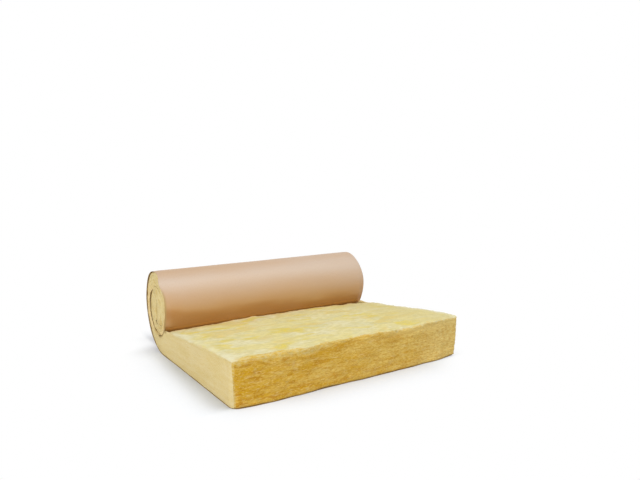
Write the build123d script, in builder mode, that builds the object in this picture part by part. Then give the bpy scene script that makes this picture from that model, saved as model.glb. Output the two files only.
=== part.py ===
"""Kraft-faced glass wool roll, part unrolled on the floor.

Millimetres. X runs along the blanket's width, which is also the roll's axis. -Y is the cut end
of the blanket and +Y the back of the roll. Z is up, with the floor at 0.
"""

from build123d import *
from math import cos, radians, sin
import os

# The blanket
blanket_width = 1200
wool_thickness = 200  # sprung back to full height at the cut end
facing_thickness = 1  # kraft paper with the bitumen that bonds it to the wool
cut_edge_radius = 14  # top edge of the cut end, rounded by handling

# The part that lies unrolled
flat_run = 805  # from the cut end to the line where the facing lifts off the floor
full_height_run = 100  # the top stays near its full height for about this far

# The roll. The outer face of the facing climbs the back, passes over the top and comes down
# the front in tangent arcs of an eighth of a turn each. The roll sags, so no two are alike.
arc_angle = 45
rise_radius = 247  # off the floor
lower_back_radius = 255.5
upper_back_radius = 171
rear_top_radius = 122
front_top_radius = 151
upper_front_radius = 184
lower_front_radius = 171  # down behind the blanket
underside_radius = 88

turn_pitch = 55  # wool squeezed between one turn of the facing and the next
rise_swell = 86  # the outer turn stands off this much more where the wool swells again
back_swell = 43
front_swell = 12

arc_count = 16  # whole arcs, two turns
inner_end_angle = 30  # the facing ends this far into the next arc
nip_angle = 36  # of the lower front arc shows above the line where the blanket meets the roll

# The void left at the heart of the winding
bore_length = 22
bore_height = 12
bore_land = 4  # wool between the facing's inner end and the void

outer_turn = [
    rise_radius,
    lower_back_radius,
    upper_back_radius,
    rear_top_radius,
    front_top_radius,
    upper_front_radius,
    lower_front_radius,
    underside_radius,
]
swell = [rise_swell, back_swell, 0, 0, 0, front_swell, front_swell, 0]
arcs_per_turn = len(outer_turn)
nip_arc = outer_turn.index(lower_front_radius, 4)


def wound_radius(number):
    """Radius of the facing's outer face on this arc, counted from the floor."""
    turn, place = divmod(number, arcs_per_turn)
    loose = swell[place] if turn else 0
    return outer_turn[place] - turn * turn_pitch - loose


def facing_run(depth, whole_arcs, last_angle):
    """Lines and arcs at this depth inside the facing's outer face, from the cut end inwards."""
    start = piece = Line((0, depth), (flat_run, depth))
    for number in range(whole_arcs):
        piece = JernArc(piece @ 1, piece % 1, wound_radius(number) - depth, arc_angle)
    piece = JernArc(piece @ 1, piece % 1, wound_radius(whole_arcs) - depth, last_angle)
    return start @ 0, piece @ 1, piece % 1


# The end of the roll at -X, with the drawing's first axis along +Y and centred front to back
back_reach = flat_run + rise_radius * sin(radians(arc_angle))
back_reach += lower_back_radius * (1 - sin(radians(arc_angle)))
end_plane = Plane(origin=(-blanket_width / 2, -back_reach / 2, 0), x_dir=(0, 1, 0), z_dir=(1, 0, 0))

# Kraft facing: one sheet, from the cut end along the floor and twice round the roll
with BuildPart() as kraft_facing:
    with BuildSketch(end_plane) as facing_section:
        with BuildLine():
            outer_start, outer_end, _ = facing_run(0, arc_count, inner_end_angle)
            inner_start, inner_end, end_heading = facing_run(
                facing_thickness, arc_count, inner_end_angle
            )
            Line(outer_start, inner_start)
            Line(outer_end, inner_end)
        make_face()
    extrude(amount=blanket_width)

# Glass wool blanket: fills everything inside the facing, less the facing's own turns
with BuildPart() as glass_wool_blanket:
    with BuildSketch(end_plane):
        with BuildLine():
            floor_corner, nip, nip_heading = facing_run(facing_thickness, nip_arc, nip_angle)
            nip_foot = nip + nip_heading.rotate(Axis.Z, -90) * facing_thickness
            Line(nip, nip_foot)
            top_corner = (0, wool_thickness)
            Bezier(nip_foot, (full_height_run, wool_thickness), top_corner)
            Line(top_corner, floor_corner)
        make_face()
        cut_corner = vertices().group_by(Axis.X)[0].sort_by(Axis.Y)[-1]
        fillet(cut_corner, radius=cut_edge_radius)
        add(facing_section.sketch_local, mode=Mode.SUBTRACT)
        core = inner_end + end_heading * (bore_land + bore_length / 2)
        with Locations(Location(core, (0, 0, arc_count * arc_angle + inner_end_angle))):
            Ellipse(bore_length / 2, bore_height / 2, mode=Mode.SUBTRACT)
    extrude(amount=blanket_width)

glass_wool_blanket.part.label = "glass_wool_blanket"
kraft_facing.part.label = "kraft_facing"

os.makedirs("parts", exist_ok=True)
export_step(glass_wool_blanket.part, "parts/glass_wool_blanket.step")
export_step(kraft_facing.part, "parts/kraft_facing.step")
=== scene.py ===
"""Kraft-faced glass wool roll, part unrolled: its looks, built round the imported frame.

Metres, in the frame of the part: X along the blanket's width, -Y at its cut end, +Y at the back
of the roll, Z up with the floor at 0. On the roll's end, "along" is the length of facing from the
cut end, "level" runs from 0 at the facing to 1 at the wool's other face.
"""

import logging
import math
from collections.abc import Callable, Iterable
from dataclasses import dataclass, field
from enum import Enum
from functools import cached_property, reduce

import bpy
import numpy as np
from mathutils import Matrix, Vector, noise

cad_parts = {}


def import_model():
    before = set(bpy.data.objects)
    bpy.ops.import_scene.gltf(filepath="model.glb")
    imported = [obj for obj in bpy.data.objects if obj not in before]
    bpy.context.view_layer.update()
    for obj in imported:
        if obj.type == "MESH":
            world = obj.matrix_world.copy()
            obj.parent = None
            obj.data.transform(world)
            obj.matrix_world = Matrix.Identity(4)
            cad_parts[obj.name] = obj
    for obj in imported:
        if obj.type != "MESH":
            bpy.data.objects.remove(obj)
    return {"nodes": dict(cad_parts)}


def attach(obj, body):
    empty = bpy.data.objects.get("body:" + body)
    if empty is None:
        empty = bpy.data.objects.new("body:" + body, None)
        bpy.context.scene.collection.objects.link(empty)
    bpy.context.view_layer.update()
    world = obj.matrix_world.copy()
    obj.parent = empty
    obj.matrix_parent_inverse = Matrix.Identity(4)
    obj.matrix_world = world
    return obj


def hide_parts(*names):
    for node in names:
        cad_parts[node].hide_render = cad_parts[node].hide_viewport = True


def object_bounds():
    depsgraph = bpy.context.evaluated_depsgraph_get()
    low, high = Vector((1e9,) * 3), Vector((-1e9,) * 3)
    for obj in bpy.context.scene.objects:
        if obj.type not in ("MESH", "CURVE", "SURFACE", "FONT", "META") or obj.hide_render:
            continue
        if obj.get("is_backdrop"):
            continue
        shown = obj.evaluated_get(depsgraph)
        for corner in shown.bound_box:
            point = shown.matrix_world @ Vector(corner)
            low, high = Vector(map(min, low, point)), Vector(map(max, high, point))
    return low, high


log = logging.getLogger("insulation_roll")

ROOT_BODY = "root"
HALF_WIDTH = 0.6  # of the blanket
LEFT_CORNER, RIGHT_CORNER = 0.036, 0.013  # radii of the foot's two front corners

Array = np.ndarray
Colour = tuple[float, float, float, float]
Node = bpy.types.Node
Socket = bpy.types.NodeSocket
Outputs, Inputs = bpy.types.NodeOutputs, bpy.types.NodeInputs
Material = bpy.types.Material


def rgb(red: float, green: float, blue: float) -> Colour:
    """Gives a colour with full alpha."""
    return (red, green, blue, 1.0)


def ease(value: Array, low: float, high: float) -> Array:
    """Runs smoothly from 0 at low to 1 at high. Where low is the larger, it falls instead.

    Args:
        value: where to look.
        low: the value that gives 0.
        high: the value that gives 1.

    Returns:
        The eased share for each value.
    """
    share = np.clip((value - low) / (high - low), 0.0, 1.0)
    return share * share * (3 - 2 * share)


def between(value: Array, start: float, full: float, fading: float, end: float) -> Array:
    """Rises from start to full and falls again from fading to end."""
    return ease(value, start, full) * ease(value, end, fading)


def hump(value: Array, middle: float, width: float) -> Array:
    """Swells to 1 at the middle and is all but gone at twice the width from it."""
    return np.exp(-(((value - middle) / width) ** 2))


def from_sides(across: Array) -> Array:
    """Gives the distance in from the nearer side of the blanket."""
    return HALF_WIDTH - np.abs(across)


def crowded(count: int, strength: float) -> Array:
    """Gives shares from 0 to 1 that lie closer together towards both ends."""
    share = np.linspace(0, 1, count + 1)
    return share - strength * np.sin(2 * np.pi * share)


def rumple(places: Array, scales: tuple[float, float, float], seed: float) -> Array:
    """Smooth noise, read at each place.

    Args:
        places: points, one a row.
        scales: how many lumps a metre along each axis.
        seed: shifts the noise, so that two calls differ.

    Returns:
        One value a point, from about -1 to 1.
    """
    scaled = places * np.array(scales) + seed
    return np.array([noise.noise(Vector(p)) for p in scaled])


# The roll's end


@dataclass(frozen=True)
class FacingPath:
    """Line of the facing's outer face on the roll's end: along the floor, then twice round."""

    flat_run: float = 0.805
    outer_turn: tuple[float, ...] = (0.247, 0.2555, 0.171, 0.122, 0.151, 0.184, 0.171, 0.088)
    swell: tuple[float, ...] = (0.086, 0.043, 0.0, 0.0, 0.0, 0.012, 0.012, 0.0)
    turn_pitch: float = 0.055
    arc_angle: float = 45.0
    arc_count: int = 16
    inner_end_angle: float = 30.0

    @cached_property
    def arcs(self) -> Array:
        """Works out the arcs one after another, each tangent to the last.

        Returns:
            One row an arc: along at its start, heading, radius, and its centre's two coordinates.
        """
        rows = []
        along, heading, spot = self.flat_run, 0.0, np.array((self.flat_run, 0.0))
        for number in range(self.arc_count + 1):
            turn, place = divmod(number, len(self.outer_turn))
            loose = self.swell[place] if turn else 0.0
            radius = self.outer_turn[place] - turn * self.turn_pitch - loose
            centre = spot + radius * np.array((-math.sin(heading), math.cos(heading)))
            rows.append((along, heading, radius, *centre))
            heading += math.radians(self.arc_angle)
            along += radius * math.radians(self.arc_angle)
            spot = centre + radius * np.array((math.sin(heading), -math.cos(heading)))
        return np.array(rows)

    @property
    def length(self) -> float:
        """Whole length of the facing."""
        return self.along_at(self.arc_count * self.arc_angle + self.inner_end_angle)

    def along_at(self, heading: float) -> float:
        """Gives the length of facing up to the place where it has turned this many degrees."""
        row = self.arcs[min(int(heading // self.arc_angle), self.arc_count)]
        return float(row[0] + (math.radians(heading) - row[1]) * row[2])

    def rows_at(self, along: Array) -> Array:
        """Gives the row of the arc that each place along the facing lies on."""
        return self.arcs[np.clip(np.searchsorted(self.arcs[:, 0], along) - 1, 0, None)]

    def headings(self, along: Array) -> Array:
        """Gives the direction of travel at each place along the facing, in radians."""
        rows = self.rows_at(along)
        return np.where(along < self.flat_run, 0.0, rows[:, 1] + (along - rows[:, 0]) / rows[:, 2])

    def turned(self, along: Array) -> Array:
        """Gives the direction of travel at each place along the facing, in degrees."""
        return np.degrees(self.headings(along))

    def wound_stations(self, step: float) -> Array:
        """Gives places about this far apart, from where the facing lifts off to its end."""
        return np.linspace(self.flat_run, self.length, int((self.length - self.flat_run) / step))

    def points(self, along: Array, inset: Array | float = 0.0) -> Array:
        """Places on the roll's end.

        Args:
            along: length of facing from the cut end.
            inset: how far inside the facing's outer face.

        Returns:
            Distance from the cut end and height, one row a place.
        """
        rows = self.rows_at(along)
        heading = self.headings(along)
        out = np.stack((np.sin(heading), -np.cos(heading)), axis=1)
        wound = rows[:, 3:5] + out * (rows[:, 2] - inset)[:, None]
        flat = np.stack((along, np.zeros_like(along) + inset), axis=1)
        return np.where((along < self.flat_run)[:, None], flat, wound)


@dataclass(frozen=True)
class BlanketSection:
    """The blanket seen on the roll's end: facing, wool, the line where they meet, and the core."""

    path: FacingPath = field(default_factory=FacingPath)
    wool_thickness: float = 0.2
    facing_thickness: float = 0.001
    clearance: float = 0.0005  # between the facing and the wool bonded to it
    turn_gap: float = 0.0004  # between the wool and the next turn of the facing
    full_height_run: float = 0.1
    nip_heading: float = 306.0
    tuck: float = 0.001  # how far the facing draws in at the roll's two ends
    front_tuck: float = 0.008  # and how much more low on its front
    tuck_run: float = 0.035
    buckle: float = 0.0012
    right_lift: float = 0.008  # of the cut end's right corner off the floor
    bow: float = 0.003  # how far the cut end stands forward over most of its width
    left_bow: float = 0.010  # and how much more towards its left corner
    right_set_back: float = 0.009  # how far it lies back towards its right corner
    wander: tuple[tuple[float, float, float], ...] = (  # height, frequency and start of each wave
        (0.0016, 19.0, 0.4),
        (0.0010, 43.0, 0.0),
    )
    right_spread: float = 0.011
    # How far the turns are out of flush at the left: the inner ones and the foot out, the back in
    inner_proud: float = 0.0026
    foot_proud: float = 0.0024
    back_dip: float = 0.0018
    # Where the wool's inner face lies at the heart of the roll, by the facing's heading there:
    # up one side of the fold and down the other, round the void at its foot.
    core_fold: tuple[tuple[float, float, float], ...] = (
        (390, 0.8885, 0.1435),
        (400, 0.8990, 0.1425),
        (412, 0.9110, 0.1465),
        (424, 0.9110, 0.1570),
        (436, 0.9010, 0.1660),
        (470, 0.9000, 0.2080),
        (505, 0.8990, 0.2550),
        (540, 0.8982, 0.2700),
        (585, 0.8978, 0.2580),
        (640, 0.8975, 0.2150),
        (700, 0.8955, 0.1780),
        (750, 0.8890, 0.1640),
    )

    @cached_property
    def back_reach(self) -> float:
        """Works out how long the whole is.

        Returns:
            Distance from the cut end to the furthest back of the roll.
        """
        first, second = self.path.outer_turn[:2]
        tilt = math.sin(math.radians(self.path.arc_angle))
        return self.path.flat_run + first * tilt + second * (1 - tilt)

    @cached_property
    def top_line(self) -> Array:
        """The open top of the blanket, from the cut end to the roll.

        Returns:
            Distance from the cut end and height, one row a point.
        """
        nip = self.path.points(np.array([self.path.along_at(self.nip_heading)]))[0]
        start = np.array((0.0, self.wool_thickness))
        crest = np.array((self.full_height_run, self.wool_thickness))
        share = np.linspace(0, 1, 80)[:, None]
        return start * (1 - share) ** 2 + crest * 2 * share * (1 - share) + nip * share**2

    @cached_property
    def inner_line(self) -> tuple[Array, Array]:
        """The wool's inner face as a line: the open top, then the next turn's outer face.

        Returns:
            Its points, and the length of line up to each.
        """
        first = self.path.along_at(self.nip_heading)
        wound = self.path.points(np.linspace(first, self.path.length, 400)[1:], -self.turn_gap)
        line = np.concatenate((self.top_line, wound))
        steps = np.linalg.norm(np.diff(line, axis=0), axis=1)
        return line, np.concatenate(((0.0,), np.cumsum(steps)))

    @cached_property
    def pairing(self) -> tuple[Array, Array]:
        """Which place on the inner line lies over which place along the facing.

        Returns:
            Places along the facing, and the length of inner line up to the place over each.
        """
        top_length = self.inner_line[1][len(self.top_line) - 1]
        first = self.path.along_at(self.nip_heading)
        over = [(0.0, 0.0), (0.68, 0.683), (self.path.flat_run, 342.0)]
        over += [(self.path.along_at(h), h + 360.0) for h in (45, 90, 135, 180, 225, 270, 315)]
        over += [(self.path.along_at(h), h + 360.0) for h in (360, 390)]
        places = [
            (a, b if b < 1 else top_length + self.path.along_at(b) - first) for a, b in over
        ]
        return np.array([p[0] for p in places]), np.array([p[1] for p in places])

    def inner_points(self, along: Array) -> Array:
        """Gives the point of the wool's inner face over each place along the facing.

        Args:
            along: length of facing from the cut end.

        Returns:
            Distance from the cut end and height, one row a place.
        """
        line, lengths = self.inner_line
        over = np.interp(along, *self.pairing)
        wound = np.stack([np.interp(over, lengths, line[:, k]) for k in (0, 1)], axis=1)
        fold = np.array(self.core_fold)
        turned = self.path.turned(along)
        core = np.stack([np.interp(turned, fold[:, 0], fold[:, k]) for k in (1, 2)], axis=1)
        return np.where((turned > fold[0, 0])[:, None], core, wound)

    def span(self, along: Array) -> tuple[Array, Array]:
        """Gives the wool's foot on the facing and the way from there to its inner face."""
        foot = self.path.points(along, self.facing_thickness + self.clearance)
        return foot, self.inner_points(along) - foot

    def drift(self, across: Array, along: Array) -> Array:
        """How far the facing strays inwards from its plain path: shallow buckles on the roll and
        drawn-in ends, most of all low on the roll's front.

        Args:
            across: distance from the middle of the width.
            along: length of facing from the cut end.

        Returns:
            Inset in metres at each place.
        """
        places = np.stack((across, along, np.zeros_like(along)), axis=1)
        wound = ease(along, self.path.flat_run + 0.02, self.path.flat_run + 0.2)
        buckles = rumple(places, (2.2, 5.0, 1.0), 3.7) + 0.5 * rumple(places, (6.0, 11.0, 1.0), 9.1)
        from_end = from_sides(across)
        turned = self.path.turned(along)
        low_front = between(turned, 225.0, 285.0, 292.0, 318.0)
        tuck = self.tuck + self.front_tuck * low_front
        drawn = tuck * ease(from_end, self.tuck_run, 0.0) * wound
        corner = np.hypot(np.maximum(HALF_WIDTH - across, 0), np.maximum(along, 0))
        lifted = self.right_lift * ease(corner, 0.11, 0.0)
        return self.buckle * (buckles + 0.4) * wound + drawn + lifted

    def forward(self, across: Array, along: Array) -> Array:
        """How far the cut end, which wasn't cut quite straight, stands forward of its plain line.

        Args:
            across: distance from the middle of the width.
            along: length of facing from the cut end.

        Returns:
            Shift towards -Y at each place.
        """
        from_side = from_sides(across)
        wander = sum(high * np.sin(across * often + start) for high, often, start in self.wander)
        bow = self.bow + self.left_bow * hump(across, -0.43, 0.13) + wander
        bow = bow * ease(from_side, 0.0, 0.11) - self.right_set_back * ease(across, 0.26, 0.42)
        return bow * ease(along, 0.12, 0.0)

    def wider(self, across: Array, along: Array) -> Array:
        """How far the blanket strays to the right: its open part spreads on that side, and its
        turns aren't quite flush at the left.

        Args:
            across: distance from the middle of the width.
            along: length of facing from the cut end.

        Returns:
            Shift towards +X at each place.
        """
        turned = self.path.turned(along)
        open_run = ease(along, self.path.flat_run, 0.3)
        spread = self.right_spread * ease(across, 0.3, HALF_WIDTH) * open_run
        proud = self.inner_proud * ease(turned, 385.0, 415.0)
        proud = proud + self.foot_proud * ease(along, 0.6, 0.8) * ease(turned, 70.0, 40.0)
        proud -= self.back_dip * hump(turned, 108.0, 16.0)
        return spread - proud * ease(-across, 0.45, HALF_WIDTH)

    def place(self, spots: Array) -> Array:
        """Wool-space spots to points in the part's frame.

        Args:
            spots: across, along and height over the facing's inner face in metres, one a row.

        Returns:
            X, Y and Z, one row a spot.
        """
        across, along, over = spots.T
        reach = np.clip(along, 0.0, self.path.length)
        foot, span = self.span(reach)
        tall = np.linalg.norm(span, axis=1)
        level = over / tall
        shift = self.drift(across, reach) * (1 - np.clip(level, 0, 1))
        inwards = self.path.headings(reach)
        inwards = np.stack((-np.sin(inwards), np.cos(inwards)), axis=1)
        flat = foot + span * level[:, None] + inwards * shift[:, None]
        flat[:, 0] += np.minimum(along, 0.0)
        return np.stack((across, flat[:, 0] - self.back_reach / 2, flat[:, 1]), axis=1)

    def thickness(self, along: Array) -> Array:
        """Gives the wool's thickness at each place along the facing."""
        return np.linalg.norm(self.span(np.clip(along, 0.0, self.path.length))[1], axis=1)


def trim_corners(spots: Array) -> Array:
    """Rounds off the blanket's two front corners, seen from above.

    Args:
        spots: across and along, one row a spot.

    Returns:
        The same with what lies past a corner's arc drawn in to it.
    """
    radius = np.where(spots[:, 0] < 0, LEFT_CORNER, RIGHT_CORNER)
    centre = np.stack((np.sign(spots[:, 0]) * (HALF_WIDTH - radius), radius), axis=1)
    off = (spots - centre) * np.stack((np.sign(spots[:, 0]), -np.ones(len(spots))), axis=1)
    reach = np.linalg.norm(off, axis=1)
    past = (off.min(axis=1) > 0) & (reach > radius)
    share = np.where(past, radius / np.maximum(reach, 1e-9), 1.0)[:, None]
    return centre + (spots - centre) * share


# Meshes


class LatticeShell:
    """Collects the skin of a box-shaped lattice as faces between numbered lattice points."""

    def __init__(self) -> None:
        """Starts with no points and no faces."""
        self.numbers: dict[tuple[int, int, int], int] = {}
        self.faces: list[tuple[int, ...]] = []

    def point(self, spot: tuple[int, int, int]) -> int:
        """Gives the number of a lattice point, a new one where it has none."""
        return self.numbers.setdefault(spot, len(self.numbers))

    def face(self, spots: Iterable[tuple[int, int, int]]) -> None:
        """Adds one face through these lattice points."""
        self.faces.append(tuple(self.point(s) for s in spots))

    def sheet(self, spot: Callable[[int, int], tuple[int, int, int]], rows: int, columns: int) -> None:
        """Adds a sheet of four-sided faces.

        Args:
            spot: gives the lattice point at a row and a column.
            rows: how many faces one way.
            columns: how many the other way.
        """
        for i in range(rows):
            for j in range(columns):
                self.face((spot(i, j), spot(i + 1, j), spot(i + 1, j + 1), spot(i, j + 1)))

    @property
    def lattice(self) -> Array:
        """The lattice points in the order of their numbers."""
        return np.array(list(self.numbers), dtype=int)


def stand(name: str, data: bpy.types.ID) -> bpy.types.Object:
    """Puts a new object in the scene.

    Args:
        name: its name.
        data: its mesh, lamp or camera.

    Returns:
        The object.
    """
    made = bpy.data.objects.new(name, data)
    bpy.context.scene.collection.objects.link(made)
    return made


def make_piece(
    name: str,
    points: Array,
    faces: list[tuple[int, ...]],
    layers: dict[Enum, Array],
    material: Material,
) -> bpy.types.Object:
    """Makes a smooth mesh piece that rides on the part.

    Args:
        name: the piece's name.
        points: its points, one a row.
        faces: point numbers, one tuple a face.
        layers: what the material reads at each point: a number or a vector a point.
        material: its finish.

    Returns:
        The new object.
    """
    mesh = bpy.data.meshes.new(name)
    mesh.from_pydata(points.tolist(), [], faces)
    for layer, values in layers.items():
        kind, key = ("FLOAT_VECTOR", "vector") if values.ndim == 2 else ("FLOAT", "value")
        attribute = mesh.attributes.new(layer.value, kind, "POINT")
        attribute.data.foreach_set(key, values.astype(np.float32).ravel())
    mesh.shade_smooth()
    mesh.materials.append(material)
    mesh.update()
    piece = stand(name, mesh)
    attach(piece, ROOT_BODY)
    return piece


# Node work


class NodeBench:
    """Lays and joins nodes in one tree."""

    def __init__(self, tree: bpy.types.NodeTree) -> None:
        """Works on this tree."""
        self.tree = tree

    def add(self, kind: str, name: str = "", **settings: object) -> Node:
        """Adds a node.

        Args:
            kind: Blender's name of the node type.
            name: its label.
            settings: values for the node's own properties.

        Returns:
            The node.
        """
        node = self.tree.nodes.new(kind)
        node.label = name
        node.location = (220 * (len(self.tree.nodes) % 9), -260 * (len(self.tree.nodes) // 9))
        for key, value in settings.items():
            setattr(node, key, value)
        return node

    def join(self, value: object, socket: Socket) -> None:
        """Links an input to an output, or sets it to a plain value.

        Args:
            value: an output, a plain value, or None to leave the input as it is.
            socket: the input.
        """
        if isinstance(value, Socket):
            self.tree.links.new(value, socket)
        elif value is not None:
            socket.default_value = value

    def feed(self, node: Node, **inputs: object) -> Node:
        """Sets or links a node's inputs.

        Args:
            node: the node.
            inputs: outputs or plain values by the inputs' names, with _ for a space.

        Returns:
            The same node.
        """
        for key, value in inputs.items():
            self.join(value, node.inputs[key.replace("_", " ")])
        return node

    def maths(self, operation: str, first: object, second: object, third: object = None) -> Socket:
        """Adds a maths node.

        Args:
            operation: Blender's name for what it does.
            first: an output or a plain value.
            second: the next, where it takes two.
            third: the last, where it takes three.

        Returns:
            Its result.
        """
        node = self.add("ShaderNodeMath", operation=operation)
        for socket, value in zip(node.inputs, (first, second, third)):
            self.join(value, socket)
        return node.outputs[0]

    def times(self, first: object, *others: object) -> Socket:
        """Multiplies two values or more."""
        return reduce(lambda product, other: self.maths("MULTIPLY", product, other), others, first)

    def blend(self, share: object, first: object, second: object) -> Socket:
        """Mixes two colours.

        Args:
            share: 0 for all of the first to 1 for all of the second.
            first: a colour or an output.
            second: the other.

        Returns:
            The mixed colour.
        """
        node = self.add("ShaderNodeMix", data_type="RGBA")
        for number, value in ((0, share), (6, first), (7, second)):
            self.join(value, node.inputs[number])
        return node.outputs[2]

    def tint(self, under: Socket, share: Socket, strength: object, colour: object) -> Socket:
        """Lays a colour over another, by a share and a strength."""
        return self.blend(self.times(share, strength), under, colour)

    def window(self, value: Socket, low: object, high: object) -> Socket:
        """Eases a value from 0 at low to 1 at high, or down where low is the larger."""
        node = self.add("ShaderNodeMapRange", interpolation_type="SMOOTHSTEP")
        return self.feed(node, Value=value, From_Min=low, From_Max=high).outputs[0]

    def scaled(self, place: Socket, density: Socket) -> Socket:
        """Multiplies a place by a density, axis by axis.

        Args:
            place: a point.
            density: how many lumps of noise a metre along each axis.

        Returns:
            The scaled place.
        """
        node = self.add("ShaderNodeVectorMath", operation="MULTIPLY")
        self.join(place, node.inputs[0])
        self.join(density, node.inputs[1])
        return node.outputs[0]

    def bump(self, height: Socket, depth: float, strength: float) -> Socket:
        """Turns a height into a normal, with this depth in metres where it is 1."""
        node = self.add("ShaderNodeBump")
        return self.feed(node, Height=height, Distance=depth, Strength=strength).outputs[0]

    def split(self, place: Socket) -> Outputs:
        """Gives a place's three coordinates."""
        return self.feed(self.add("ShaderNodeSeparateXYZ"), Vector=place).outputs

    def layer(self, layer: Enum, output: str = "Fac") -> Socket:
        """Reads one of the mesh's layers."""
        return self.add("ShaderNodeAttribute", layer.value, attribute_name=layer.value).outputs[output]


@dataclass(frozen=True)
class GroupSocket:
    """One named input or output of a node group."""

    name: str
    kind: str = "NodeSocketFloat"
    start: float | tuple[float, ...] | None = None


class EffectGroup:
    """A shader node group with named sockets, built once and placed where it is used."""

    name = "effect"
    inputs: tuple[GroupSocket, ...] = ()
    outputs: tuple[GroupSocket, ...] = ()

    def __init__(self) -> None:
        """Builds the group's tree."""
        self.tree = bpy.data.node_groups.new(self.name, "ShaderNodeTree")
        for way, sockets in (("INPUT", self.inputs), ("OUTPUT", self.outputs)):
            for s in sockets:
                made = self.tree.interface.new_socket(s.name, in_out=way, socket_type=s.kind)
                if s.start is not None:
                    made.default_value = s.start
        bench = NodeBench(self.tree)
        start, end = bench.add("NodeGroupInput"), bench.add("NodeGroupOutput")
        self.lay(bench, start.outputs, end.inputs)

    def lay(self, bench: NodeBench, given: Outputs, wanted: Inputs) -> None:
        """Lays the nodes between the group's inputs and outputs."""
        raise NotImplementedError

    def use(self, bench: NodeBench, **inputs: object) -> Node:
        """Places the group in a material and feeds it.

        Args:
            bench: the material's bench.
            inputs: outputs or plain values by the inputs' names.

        Returns:
            The group's node.
        """
        node = bench.add("ShaderNodeGroup", self.name)
        node.node_tree = self.tree
        return bench.feed(node, **inputs)


class StretchedNoise(EffectGroup):
    """Noise drawn out along the fibres' way: streaks on a cut, clouds on a face."""

    name = "stretched_noise"
    inputs = (
        GroupSocket("Place", "NodeSocketVector"),
        GroupSocket("Density", "NodeSocketVector", (10.0, 10.0, 10.0)),
        GroupSocket("Detail", start=3.0),
        GroupSocket("Roughness", start=0.55),
        GroupSocket("Warp", start=0.0),
        GroupSocket("Low", start=0.35),
        GroupSocket("High", start=0.65),
    )
    outputs = (GroupSocket("Share"), GroupSocket("Plain"))

    def lay(self, bench: NodeBench, given: Outputs, wanted: Inputs) -> None:
        """Scales the place, reads noise there and windows it.

        Args:
            bench: a bench on the group's tree.
            given: the group's inputs.
            wanted: its outputs.
        """
        grain = bench.add("ShaderNodeTexNoise", noise_dimensions="3D")
        bench.feed(
            grain,
            Vector=bench.scaled(given["Place"], given["Density"]),
            Scale=1.0,
            Detail=given["Detail"],
            Roughness=given["Roughness"],
            Distortion=given["Warp"],
        )
        eased = bench.window(grain.outputs[0], given["Low"], given["High"])
        bench.join(eased, wanted["Share"])
        bench.join(grain.outputs[0], wanted["Plain"])


class FibreFelt(EffectGroup):
    """Height of matted fibres: fine strands that lie along the blanket's layers."""

    name = "fibre_felt"
    inputs = (
        GroupSocket("Place", "NodeSocketVector"),
        GroupSocket("Across", start=60.0),
        GroupSocket("Along", start=60.0),
        GroupSocket("Deep", start=500.0),
        GroupSocket("Tufts", start=0.5),
    )
    outputs = (GroupSocket("Height"),)

    def lay(self, bench: NodeBench, given: Outputs, wanted: Inputs) -> None:
        """Adds fine strands to coarser tufts.

        Args:
            bench: a bench on the group's tree.
            given: the group's inputs.
            wanted: its outputs.
        """
        density = bench.add("ShaderNodeCombineXYZ")
        for socket, name in zip(density.inputs, ("Across", "Along", "Deep")):
            bench.join(given[name], socket)
        place = bench.scaled(given["Place"], density.outputs[0])
        strands = bench.add("ShaderNodeTexNoise", "strands")
        bench.feed(strands, Vector=place, Scale=1.0, Detail=5.0, Roughness=0.65, Distortion=0.4)
        tufts = bench.add("ShaderNodeTexNoise", "tufts")
        bench.feed(tufts, Vector=place, Scale=0.23, Detail=3.0, Roughness=0.5)
        raised = bench.maths("MULTIPLY_ADD", tufts.outputs[0], given["Tufts"], strands.outputs[0])
        bench.join(raised, wanted["Height"])


@dataclass
class EffectGroups:
    """The groups that the materials share."""

    stretched: StretchedNoise = field(default_factory=StretchedNoise)
    felt: FibreFelt = field(default_factory=FibreFelt)


def new_material(name: str) -> tuple[Material, NodeBench, Node]:
    """Starts a node material.

    Args:
        name: the material's name.

    Returns:
        The material, a bench on its tree, and its Principled shader, joined to the output.
    """
    material = bpy.data.materials.new(name)
    material.use_nodes = True
    material.node_tree.nodes.clear()
    bench = NodeBench(material.node_tree)
    shader = bench.add("ShaderNodeBsdfPrincipled")
    output = bench.add("ShaderNodeOutputMaterial")
    bench.join(shader.outputs[0], output.inputs[0])
    return material, bench, shader


class WoolLayer(Enum):
    """Mesh layers that the wool's finish reads."""

    PLACE = "blanket_place"
    CUT_END = "cut_end"
    TRIMMED_SIDE = "trimmed_side"
    ARRIS = "arris"
    HANG = "below_top_edge"
    EDGE = "upright_edge"
    # painted shade at the cut end's foot and in the corner by the nip
    FOOT_SHADE = "foot"
    # painted shadow in the void at the heart of the roll
    VOID_SHADE = "fold"
    # painted light where the roll meets the open face
    RIM_LIGHT = "painted_rim_light"


class FibreLayer(Enum):
    """Mesh layers that the loose fibres' finish reads."""

    PLACE = "fibre_place"
    CUT_END = "fibre_on_end"


class FacingLayer(Enum):
    """Mesh layers that the facing's finish reads."""

    PLACE = "facing_place"
    BONDED = "bonded_side"
    # the cut edges: a painted shadow line low on the roll's front, painted light round the nip, a mid brown
    # at the foot
    EDGE_TONE = "edge_tone"
    # painted light and shade by the facing's heading
    PAINTED_SHADE = "painted_shade"


# Finishes


@dataclass(frozen=True)
class Streaks:
    """Streaks, clouds or flecks of one colour, laid where a stretched noise is high."""

    colour: Colour
    density: tuple[float, float, float]  # across the blanket, along it and through it
    detail: float
    warp: float
    low: float
    high: float
    strength: float = 1.0


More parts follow.
